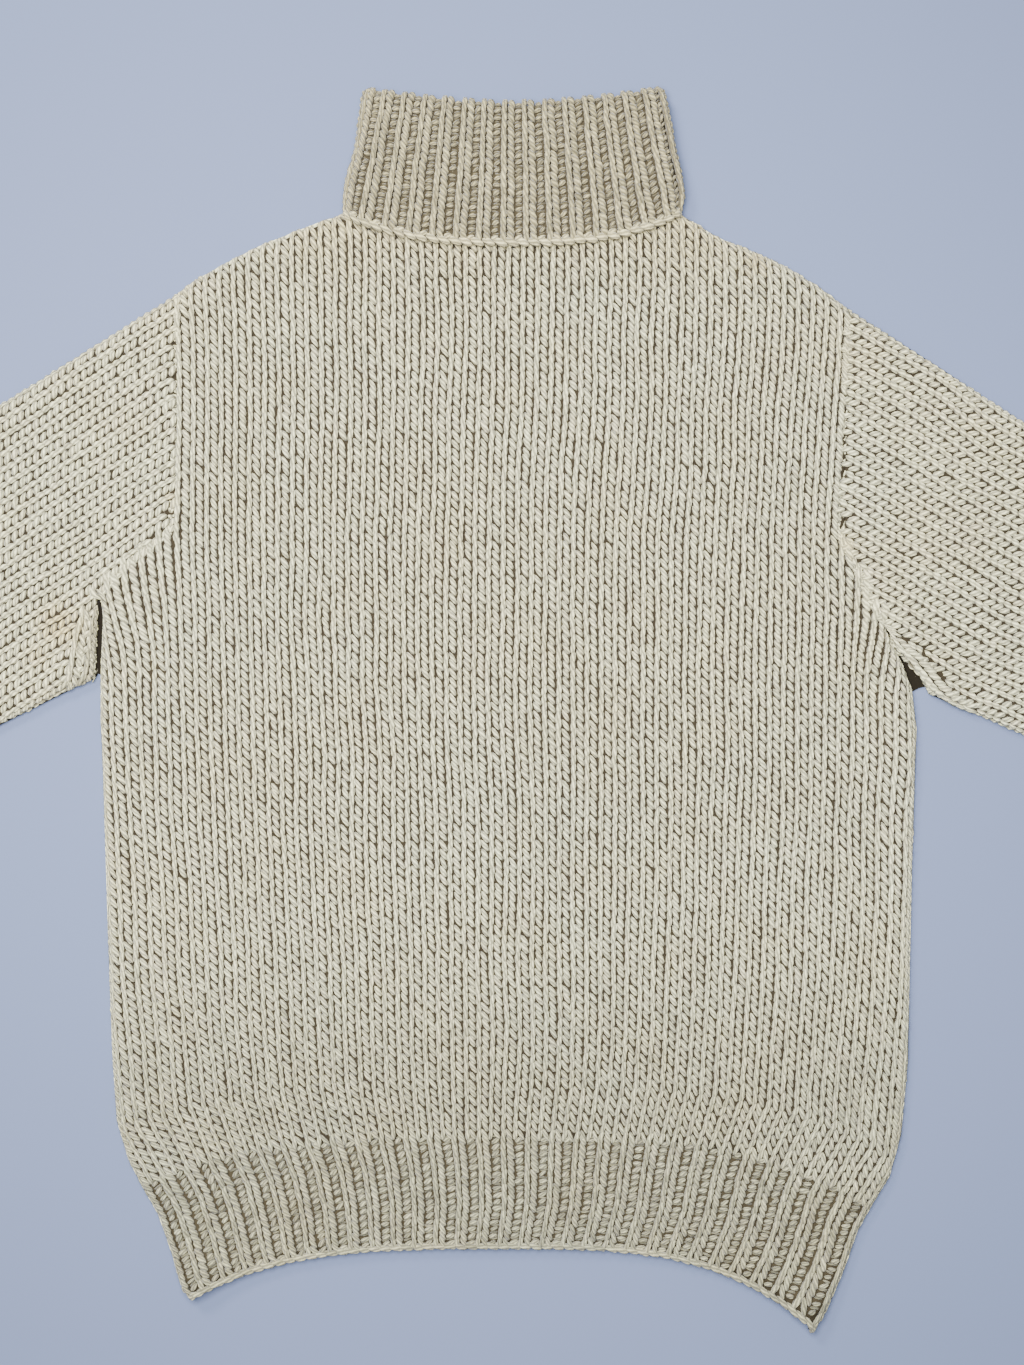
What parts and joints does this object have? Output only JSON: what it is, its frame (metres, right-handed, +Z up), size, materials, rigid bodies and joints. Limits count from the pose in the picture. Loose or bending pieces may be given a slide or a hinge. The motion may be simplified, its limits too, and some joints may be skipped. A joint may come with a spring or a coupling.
{
  "type": "turtleneck sweater",
  "caption": "Chunky cream hand-knitted turtleneck sweater laid flat, sleeves out to the sides, with a turned-down ribbed collar, a deep ribbed hem and ribbed cuffs.",
  "frame": {"origin": "on the surface that the sweater lies on, under the middle of its box", "axes": "+X to the right as seen from above, +Y towards the collar, +Z up from the surface"},
  "size_m": [1.4579, 0.8053, 0.021],
  "materials": {
    "cream_wool": "matte thick-spun wool, hand-knitted in coarse stitches"
  },
  "bodies": {
    "root": {"front_panel": "cream_wool", "back_panel": "cream_wool", "front_hem_rib": "cream_wool", "back_hem_rib": "cream_wool", "left_sleeve": "cream_wool", "right_sleeve": "cream_wool", "left_cuff": "cream_wool", "right_cuff": "cream_wool", "collar": "cream_wool"}
  },
  "joints": []
}
